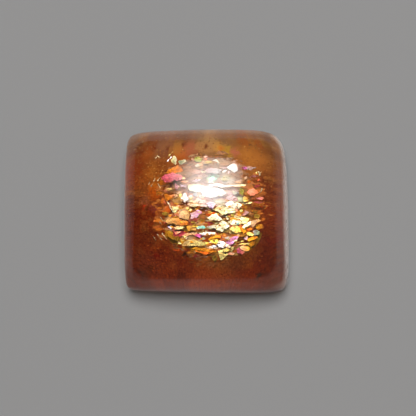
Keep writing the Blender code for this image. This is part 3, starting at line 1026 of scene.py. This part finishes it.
# loose flecks, scattered through the stone: sizes in mm, turns in degrees; a zone is the middle
# and half widths of an ellipse in plan, and depth is how far below the skin they lie
flecks = {
    "heartFlecks": {
        "count": 22000, "seed": 5, "length": (0.35, 1.1), "width": (0.25, 0.6), "thickness": 0.012,
        "spin": 24, "tilt": 2.5, "zone": (0.4, 0.05, 2.9, 3.3), "depth": (1.1, 1.6),
        "tint": (0.0, 0.7), "shine": (0.4, 1.0),
    },
    "zoneFlecks": {
        "count": 7000, "seed": 8, "length": (0.2, 0.6), "width": (0.22, 0.6), "thickness": 0.012,
        "spin": 26, "tilt": 3.5, "zone": (0.4, 0.1, 3.7, 3.6), "depth": (1.0, 2.0),
        "tint": (0.0, 0.5), "shine": (0.2, 0.7),
    },
    "goldChips": {
        "count": 26000, "seed": 17, "length": (0.15, 0.5), "width": (0.3, 0.7), "thickness": 0.012,
        "spin": 26, "tilt": 3, "zone": (0.45, -1.1, 2.7, 2.05), "depth": (1.15, 1.35),
        "tint": (0.45, 1.0), "shine": (0.6, 1.4),
    },
    "topChips": {
        "count": 16000, "seed": 23, "length": (0.08, 0.30), "width": (0.3, 0.7), "thickness": 0.008,
        "spin": 26, "tilt": 3, "zone": (0.45, -1.1, 2.7, 2.05), "depth": (0.5, 1.1),
        "tint": (0.45, 1.0), "shine": (0.4, 1.2),
    },
    "bronzeDust": {
        "count": 9000, "seed": 11, "length": (0.03, 0.16), "width": (0.3, 0.7), "thickness": 0.008,
        "spin": 30, "tilt": 10, "zone": (0, 0, 7, 7), "depth": (0.3, 4.0),
        "tint": (0.0, 1.0), "shine": (0.2, 1.0),
    },
}

fleckFloor = 0.3 * mm               # no fleck lies lower than this

# corner angle in degrees and reach, of a fleck that is one unit long from the middle to its end
fleckShapes = {
    "kite": [(0, 1.0), (75, 0.85), (180, 0.9), (262, 0.95)],
    "wedge": [(0, 1.0), (128, 1.05), (232, 1.1)],
    "slab": [(18, 1.0), (70, 0.92), (140, 1.0), (200, 0.95), (255, 1.0), (330, 1.02)],
    "blade": [(0, 1.0), (40, 0.85), (120, 0.8), (180, 1.0), (235, 0.85), (310, 0.8)],
    "shard": [(8, 1.0), (82, 0.7), (165, 1.05), (205, 0.8), (300, 0.9)],
}


def makeFleckShapes():
    shelf = bpy.data.collections.new("fleckShelf")
    scene.collection.children.link(shelf)
    for name, corners in fleckShapes.items():
        turns = [(math.radians(angle), reach) for angle, reach in corners]
        fleck = makeFlat(name, [
            (math.cos(turn) * reach, math.sin(turn) * reach, -0.5) for turn, reach in turns])
        thicken((0, 0, 1))
        for home in list(fleck.users_collection):
            home.objects.unlink(fleck)
        shelf.objects.link(fleck)
    return shelf


# scatters flecks through the stone with geometry nodes, clear of its skin
def scatterFlecks(name, look, shelf, stone):
    bpy.ops.object.select_all(action="DESELECT")
    bpy.ops.mesh.primitive_plane_add(size=1 * mm)
    carrier = bpy.context.object
    carrier.name = carrier.data.name = name
    tree = bpy.data.node_groups.new(name, "GeometryNodeTree")
    for way in ("INPUT", "OUTPUT"):
        tree.interface.new_socket(name="Geometry", in_out=way, socket_type="NodeSocketGeometry")
    link = tree.links.new

    def chance(kind, low, high, seed):
        value = addNode(tree, "FunctionNodeRandomValue", data_type=kind)
        sockets = [socket for socket in value.inputs if socket.enabled and socket.name in ("Min", "Max")]
        for socket, limit in zip(sockets, (low, high)):
            socket.default_value = limit
        value.inputs["Seed"].default_value = seed
        return next(socket for socket in value.outputs if socket.enabled)

    seed = look["seed"]
    midX, midY, reachX, reachY = look["zone"]
    shallow, deep = look["depth"]
    points = addNode(tree, "GeometryNodePoints")
    points.inputs["Count"].default_value = look["count"]
    low = (stoneLow.x, stoneLow.y, fleckFloor)
    link(chance("FLOAT_VECTOR", low, tuple(stoneHigh), seed), points.inputs["Position"])

    # points outside the stone or its zone, or at the wrong depth, are dropped
    where = addNode(tree, "GeometryNodeInputPosition").outputs[0]
    apart = addVector(tree, "SUBTRACT", where, (midX * mm, midY * mm, 0))
    shares = addVector(tree, "MULTIPLY", apart, (1 / (reachX * mm), 1 / (reachY * mm), 0))
    around = addNode(tree, "GeometryNodeObjectInfo")
    around.inputs["Object"].default_value = stone
    upward = addNode(tree, "GeometryNodeRaycast")
    link(around.outputs["Geometry"], upward.inputs["Target Geometry"])
    upward.inputs["Ray Direction"].default_value = (0, 0, 1)
    upward.inputs["Ray Length"].default_value = 2 * stoneHigh.z
    near = addNode(tree, "GeometryNodeProximity")
    link(around.outputs["Geometry"], near.inputs[0])
    misplaced = addMath(tree, "SUBTRACT", 1.0, upward.outputs["Is Hit"])
    for wrong in (
            addMath(tree, "LESS_THAN", near.outputs["Distance"], shallow * mm),
            addMath(tree, "GREATER_THAN", near.outputs["Distance"], deep * mm),
            addMath(tree, "GREATER_THAN", addVector(tree, "LENGTH", shares), 1.0)):
        misplaced = addMath(tree, "MAXIMUM", misplaced, wrong)
    drop = addNode(tree, "GeometryNodeDeleteGeometry", domain="POINT")
    link(points.outputs[0], drop.inputs["Geometry"])
    link(misplaced, drop.inputs["Selection"])

    shapes = addNode(tree, "GeometryNodeCollectionInfo")
    shapes.inputs["Collection"].default_value = shelf
    shapes.inputs["Separate Children"].default_value = True
    shapes.inputs["Reset Children"].default_value = True
    put = addNode(tree, "GeometryNodeInstanceOnPoints")
    link(drop.outputs[0], put.inputs["Points"])
    link(shapes.outputs[0], put.inputs["Instance"])
    put.inputs["Pick Instance"].default_value = True

    # long sides mostly lie along X; a turn back about X then leans a fleck north, and one on
    # about Y leans it east
    spin = math.radians(look["spin"])
    lean = math.radians(look["tilt"])
    leastLean = (-crystal["north"] - lean, crystal["east"] - lean, 0)
    mostLean = (-crystal["north"] + lean, crystal["east"] + lean, 0)
    spun = addNode(tree, "FunctionNodeEulerToRotation")
    link(chance("FLOAT_VECTOR", (0, 0, -spin), (0, 0, spin), seed + 1), spun.inputs[0])
    bow = addNode(tree, "ShaderNodeVectorRotate", rotation_type="Z_AXIS")
    link(where, bow.inputs["Vector"])
    bow.inputs["Angle"].default_value = math.pi / 2
    perMetre = (crystal["bow"] / mm, crystal["bow"] / mm, 0)
    lie = chance("FLOAT_VECTOR", leastLean, mostLean, seed + 4)
    leaned = addNode(tree, "FunctionNodeEulerToRotation")
    link(addVector(tree, "MULTIPLY_ADD", bow.outputs[0], perMetre, lie), leaned.inputs[0])
    turned = addNode(tree, "FunctionNodeRotateRotation", rotation_space="GLOBAL")
    link(spun.outputs[0], turned.inputs[0])
    link(leaned.outputs[0], turned.inputs[1])
    link(turned.outputs[0], put.inputs["Rotation"])
    length = addMath(tree, "MULTIPLY", chance("FLOAT", *look["length"], seed + 2), mm / 2)
    width = addMath(tree, "MULTIPLY", length, chance("FLOAT", *look["width"], seed + 3))
    stretch = addNode(tree, "ShaderNodeCombineXYZ")
    for socket, value in zip(stretch.inputs, (length, width, look["thickness"] * mm)):
        feed(tree, socket, value)
    link(stretch.outputs[0], put.inputs["Scale"])

    made = put.outputs[0]
    for offset, key in ((5, "tint"), (6, "shine")):
        store = addNode(tree, "GeometryNodeStoreNamedAttribute", data_type="FLOAT", domain="INSTANCE")
        link(made, store.inputs["Geometry"])
        store.inputs["Name"].default_value = key
        value = next(socket for socket in store.inputs if socket.enabled and socket.name == "Value")
        link(chance("FLOAT", *look[key], seed + offset), value)
        made = store.outputs[0]
    real = addNode(tree, "GeometryNodeRealizeInstances")
    link(made, real.inputs[0])
    link(real.outputs[0], addNode(tree, "NodeGroupOutput").inputs[0])

    scatter = carrier.modifiers.new("scatter", "NODES")
    scatter.node_group = tree
    only(carrier)
    bpy.ops.object.modifier_apply(modifier="scatter")
    print(name, len(carrier.data.polygons), "faces")
    return carrier


# what the films on the platelets and flecks look like
filmLook = {
    "grain": {"scale": 6.5, "detail": 4.0, "roughness": 0.7, "stretch": (0.6, 1.4, 1)},
    "grainTones": [(0.34, (0.55, 0.44, 0.36)), (0.48, (0.95, 0.93, 0.9)), (0.66, (1.2, 1.2, 1.2))],
    # a platelet is a stack of smaller flakes, each a little paler or darker, and warmer or cooler
    "flakes": 2.6,                  # in a mm
    "flakeStretch": (0.65, 1.5, 0.3),
    "levels": [(0.0, (0.78, 0.74, 0.70)), (0.5, (1.0, 1.0, 0.98)), (1.0, (1.3, 1.35, 1.4))],
    "warmth": [(0.0, (1.0, 0.82, 0.65)), (0.3, 1.0), (0.8, 1.0), (1.0, (0.97, 1.02, 1.25))],
    "cracks": [(0.0, (0.35, 0.22, 0.15)), (0.06, 1.0)],
    "crackShare": 0.5,
    "steps": {"scale": 4.0, "detail": 3.0, "stretch": (0.5, 1.4, 1)},
    "stepStrength": 0.4,
    "stepDepth": 0.01,              # mm
}


def filmFinish(tree, shader, colour, place, strength, metal, roughness):
    setSockets(tree, shader, {
        "Base Color": addMix(tree, "MULTIPLY", 1.0, colour, (strength,) * 3),
        "Metallic": metal, "Roughness": roughness, "Specular IOR Level": 0.0})
    steps = addNoise(tree, place, **filmLook["steps"])
    addBump(tree, shader, steps, filmLook["stepStrength"], filmLook["stepDepth"] * mm)


def plateMaterial(name, strength, metal, roughness):
    material, tree, shader = newMaterial(name)
    place = inMillimetres(tree)
    film = addNode(tree, "ShaderNodeAttribute", attribute_name="film")
    stretched = addNode(tree, "ShaderNodeMapping")
    stretched.inputs["Scale"].default_value = filmLook["flakeStretch"]
    tree.links.new(place, stretched.inputs["Vector"])
    cells = []
    for feature in ("F1", "DISTANCE_TO_EDGE"):
        cell = addNode(tree, "ShaderNodeTexVoronoi", feature=feature)
        cell.inputs["Scale"].default_value = filmLook["flakes"]
        tree.links.new(stretched.outputs[0], cell.inputs["Vector"])
        cells.append(cell)
    hue = addNode(tree, "ShaderNodeSeparateColor")
    tree.links.new(cells[0].outputs["Color"], hue.inputs[0])
    colour = film.outputs["Color"]
    for share, source, tones in (
            (1.0, addNoise(tree, place, **filmLook["grain"]), "grainTones"),
            (1.0, hue.outputs[0], "levels"),
            (1.0, hue.outputs[1], "warmth"),
            (filmLook["crackShare"], cells[1].outputs["Distance"], "cracks")):
        colour = addMix(tree, "MULTIPLY", share, colour, addRamp(tree, source, filmLook[tones]))
    filmFinish(tree, shader, colour, place, strength, metal, roughness)
    return material


fleckLook = {
    # their colours, from the dullest on, and the film's strength, metal and roughness
    "order": ("bronze", "ember", "amber", "coral", "bronze", "rose", "amber", "peach", "gold", "amber",
              "yellow", "tan", "straw", "cream", "yellow"),
    "film": (0.45, 0.4, 0.3),
    # they fade into the body's colour at the edges of the zone: from where to where, how far,
    # and into what; "north" and "south" are places on Y, and "aside" a distance from its middle, in mm
    "middle": 0.2,
    "edges": {
        "north": (0.2, 1.7, 0.8, (0.24, 0.155, 0.085)),
        "south": (-2.7, -3.4, 0.75, (0.42, 0.14, 0.015)),
        "aside": (2.2, 3.3, 0.75, (0.44, 0.14, 0.014)),
    },
    "driftDepth": 1.2,              # mm below the dome
}

deepPaintedShade = (0.05, 0.014, 0.002)
paintedShade = (0.08, 0.020, 0.004)
lemonPatch = (0.80, 0.74, 0.45)

# where flecks of one colour lie together: painted shade, dark in the hollows of the zone, and pale
# under the haze, part their own colours and part painted light; colour, middle in pixels, reach
# along and across in mm, and strength
drifts = [
    (deepPaintedShade, (184, 203.5), (0.65, 0.40), 0.9),
    (deepPaintedShade, (253, 207.0), (0.95, 0.35), 0.85),
    (deepPaintedShade, (251, 199), (0.7, 0.3), 0.6),
    (paintedShade, (205, 219), (0.9, 0.5), 0.7),
    (paintedShade, (204, 209.5), (0.9, 0.22), 0.7),
    ((0.10, 0.050, 0.006), (246, 212), (0.5, 0.4), 0.6),
    (paintedShade, (202, 230), (0.8, 0.2), 0.7),
    (paintedShade, (231, 235), (0.5, 0.2), 0.6),
    ((0.70, 0.40, 0.20), (204, 164), (0.7, 0.35), 0.9),
    (lemonPatch, (224, 216.5), (0.35, 0.22), 0.9),
    (lemonPatch, (225, 229), (0.35, 0.25), 0.9),
    ((0.55, 0.50, 0.40), (219, 172), (1.1, 0.40), 0.8),
    ((0.30, 0.74, 0.50), (212, 178), (0.5, 0.42), 0.95),
    ((0.60, 0.64, 0.36), (225, 178.5), (0.5, 0.25), 0.8),
    ((0.62, 0.36, 0.30), (200, 173), (0.7, 0.40), 0.8),
    ((0.48, 0.46, 0.40), (228, 181), (0.8, 0.35), 0.7),
    ((0.66, 0.46, 0.48), (233, 194), (0.7, 0.45), 0.9),
    ((0.50, 0.62, 0.40), (239, 199), (0.5, 0.40), 0.9),
    ((0.40, 0.50, 0.36), (218, 202), (0.8, 0.35), 0.8),
]


def fleckMaterial(skin):
    material, tree, shader = newMaterial("filmedFleck")
    place = inMillimetres(tree)
    tint = addNode(tree, "ShaderNodeAttribute", attribute_name="tint")
    shine = addNode(tree, "ShaderNodeAttribute", attribute_name="shine")
    order = fleckLook["order"]
    tones = addRamp(tree, tint.outputs["Fac"], [
        (index / (len(order) - 1), hues[hue]) for index, hue in enumerate(order)])
    colour = addMix(tree, "MULTIPLY", 1.0, tones, addGrey(tree, shine.outputs["Fac"]))
    x, y = axesOf(tree, place)[:2]
    aside = addMath(tree, "ABSOLUTE", addMath(tree, "SUBTRACT", x, fleckLook["middle"]))
    for edge, (start, end, most, dull) in fleckLook["edges"].items():
        away = addRange(tree, aside if edge == "aside" else y, start, end, 0.0, most)
        colour = addMix(tree, "MIX", away, colour, dull)
    for drift, (px, py), (wide, tall), strength in drifts:
        hit, way = lookIn(skin, px, py)
        middle = hit / mm + way * fleckLook["driftDepth"]
        near = addSpot(tree, place, middle, (1 / wide, 1 / tall), strength)
        colour = addMix(tree, "MIX", near, colour, drift)
    filmFinish(tree, shader, colour, place, *fleckLook["film"])
    return material


dustLook = {"tones": [(0.0, 0.7), (1.0, (1.6, 1.7, 1.9))], "roughness": 0.6}


def dustMaterial():
    material, tree, shader = newMaterial("bronzeDust")
    tint = addNode(tree, "ShaderNodeAttribute", attribute_name="tint")
    tones = addRamp(tree, tint.outputs["Fac"], dustLook["tones"])
    setSockets(tree, shader, {
        "Base Color": addMix(tree, "MULTIPLY", 1.0, bodyColourAndLight(tree, inMillimetres(tree)), tones),
        "Roughness": dustLook["roughness"], "Specular IOR Level": 0.0})
    return material


# the studio
floorLook = {
    "size": 1200 * mm,
    "gap": 0.02 * mm,
    "cloud": {"scale": 0.02, "detail": 2.0},
    "tones": [(0.3, (0.2156, 0.2178, 0.220)), (0.7, (0.220, 0.2222, 0.2244))],
    "roughness": 0.9,
    "specular": 0.1,
}

# the softbox is only seen mirrored, by the stone and its platelets; north and east say how far a
# lamp leans from straight above the stone, and the halves how wide it looks from there
softbox = {
    "distance": 500 * mm,
    "north": math.radians(28),
    "east": math.radians(0.5),
    "halfAcross": math.radians(29),
    "halfAlong": math.radians(24),
    "radiance": 15,
    "colour": (1.0, 0.975, 0.955),
    # brightness across its face, from its east edge to its west
    "westFade": [(0.0, 0.12), (0.10, 0.34), (0.22, 0.52), (0.42, 0.95), (0.62, 0.97), (0.80, 0.33),
                 (1.0, 0.0)],
    # and from its north edge to its south
    "southFade": [(0.0, 0.15), (0.08, 0.27), (0.25, 0.42), (0.50, 0.74), (0.70, 1.0), (0.88, 0.82),
                  (1.0, 0.15)],
}

# a lamp nearer overhead lights the floor and the body, and is neither mirrored nor seen through
# the stone
topLamp = {
    "distance": 500 * mm,
    "north": math.radians(17),
    "east": math.radians(3),
    "halfAcross": math.radians(17),
    "halfAlong": math.radians(17),
    "radiance": 14.4,
    "colour": softbox["colour"],
}

# how bright the room is, from its west side over the top to its east side
room = [(0.0, 0.078), (0.5, 0.145), (0.65, 0.145), (1.0, 0.17)]


def makeFloor():
    bpy.ops.object.select_all(action="DESELECT")
    bpy.ops.mesh.primitive_plane_add(size=floorLook["size"], location=(0, 0, -floorLook["gap"]))
    floor = bpy.context.object
    floor.name = "floor"
    material, tree, shader = newMaterial("paleFloor")
    cloud = addNoise(tree, inMillimetres(tree), **floorLook["cloud"])
    setSockets(tree, shader, {
        "Base Color": addRamp(tree, cloud, floorLook["tones"]),
        "Roughness": floorLook["roughness"], "Specular IOR Level": floorLook["specular"]})
    floor.data.materials.append(material)


# an oval lamp that faces the stone; its power spreads over a half sphere of directions
def addLamp(name, look):
    away = Vector((math.tan(look["east"]), math.tan(look["north"]), 1)).normalized()
    across, along = (2 * look["distance"] * math.tan(look[half]) for half in ("halfAcross", "halfAlong"))
    bpy.ops.object.light_add(type="AREA", location=away * look["distance"])
    lamp = bpy.context.object
    lamp.name = lamp.data.name = name
    lamp.rotation_euler = away.to_track_quat("Z", "Y").to_euler()
    lamp.data.shape = "ELLIPSE"
    lamp.data.size = across
    lamp.data.size_y = along
    lamp.data.energy = look["radiance"] * math.pi * (across * along * math.pi / 4)
    lamp.data.color = look["colour"]
    return lamp


def makeLights():
    lamp = addLamp("softbox", softbox)
    lamp.visible_diffuse = False
    lamp.data.use_nodes = True
    tree = lamp.data.node_tree
    face = addNode(tree, "ShaderNodeNewGeometry")
    west, south = axesOf(tree, face.outputs["Parametric"])[:2]
    fades = (addRamp(tree, west, softbox["westFade"]), addRamp(tree, south, softbox["southFade"]))
    tree.links.new(addMath(tree, "MULTIPLY", *fades), tree.nodes["Emission"].inputs["Strength"])
    top = addLamp("topLamp", topLamp)
    top.visible_glossy = False
    top.visible_transmission = False

    world = bpy.data.worlds.new("room")
    world.use_nodes = True
    tree = world.node_tree
    around = addNode(tree, "ShaderNodeTexCoord")
    east = axesOf(tree, around.outputs["Generated"])[0]
    glow = addRamp(tree, addMath(tree, "MULTIPLY_ADD", east, 0.5, 0.5), room)
    tree.links.new(glow, tree.nodes["Background"].inputs["Color"])
    scene.world = world
    scene.view_settings.view_transform = "Standard"


makeCamera()
stone = makeStone()
surface = bmesh.new()
surface.from_mesh(stone.data)
skin = BVHTree.FromBMesh(surface)
surface.free()
stone.data.materials.append(skinMaterial())
stone.data.materials.append(baseMaterial(skin))
lowest = min(stone.data.polygons, key=lambda face: face.center.z)
lowest.material_index = 1
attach(stone, "root")
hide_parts("cabochon")
print("stone cut:", len(stone.data.polygons), "faces")

platelets, underPlatelets = makePlates(skin)
print("platelets laid:", len(plates) + len(underPlates) + len(hairs))

shelf = makeFleckShapes()
scattered = [scatterFlecks(name, look, shelf, stone) for name, look in flecks.items()]
for fleck in list(shelf.objects):
    bpy.data.objects.remove(fleck)
bpy.data.collections.remove(shelf)
fleckFilm = fleckMaterial(skin)
plateFilm = plateMaterial("filmedPlatelet", *plateLook["film"])
underFilm = plateMaterial("dullPlatelet", *plateLook["underFilm"])
finishes = [plateFilm, underFilm, *[fleckFilm] * (len(flecks) - 1), dustMaterial()]
for piece, material in zip([platelets, underPlatelets, *scattered], finishes):
    piece.data.materials.clear()
    piece.data.materials.append(material)
    piece.visible_shadow = piece is platelets   # the others are thin enough for light to pass
    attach(piece, "root")
print("flecks scattered")

makeFloor()
makeLights()
print("studio lit")
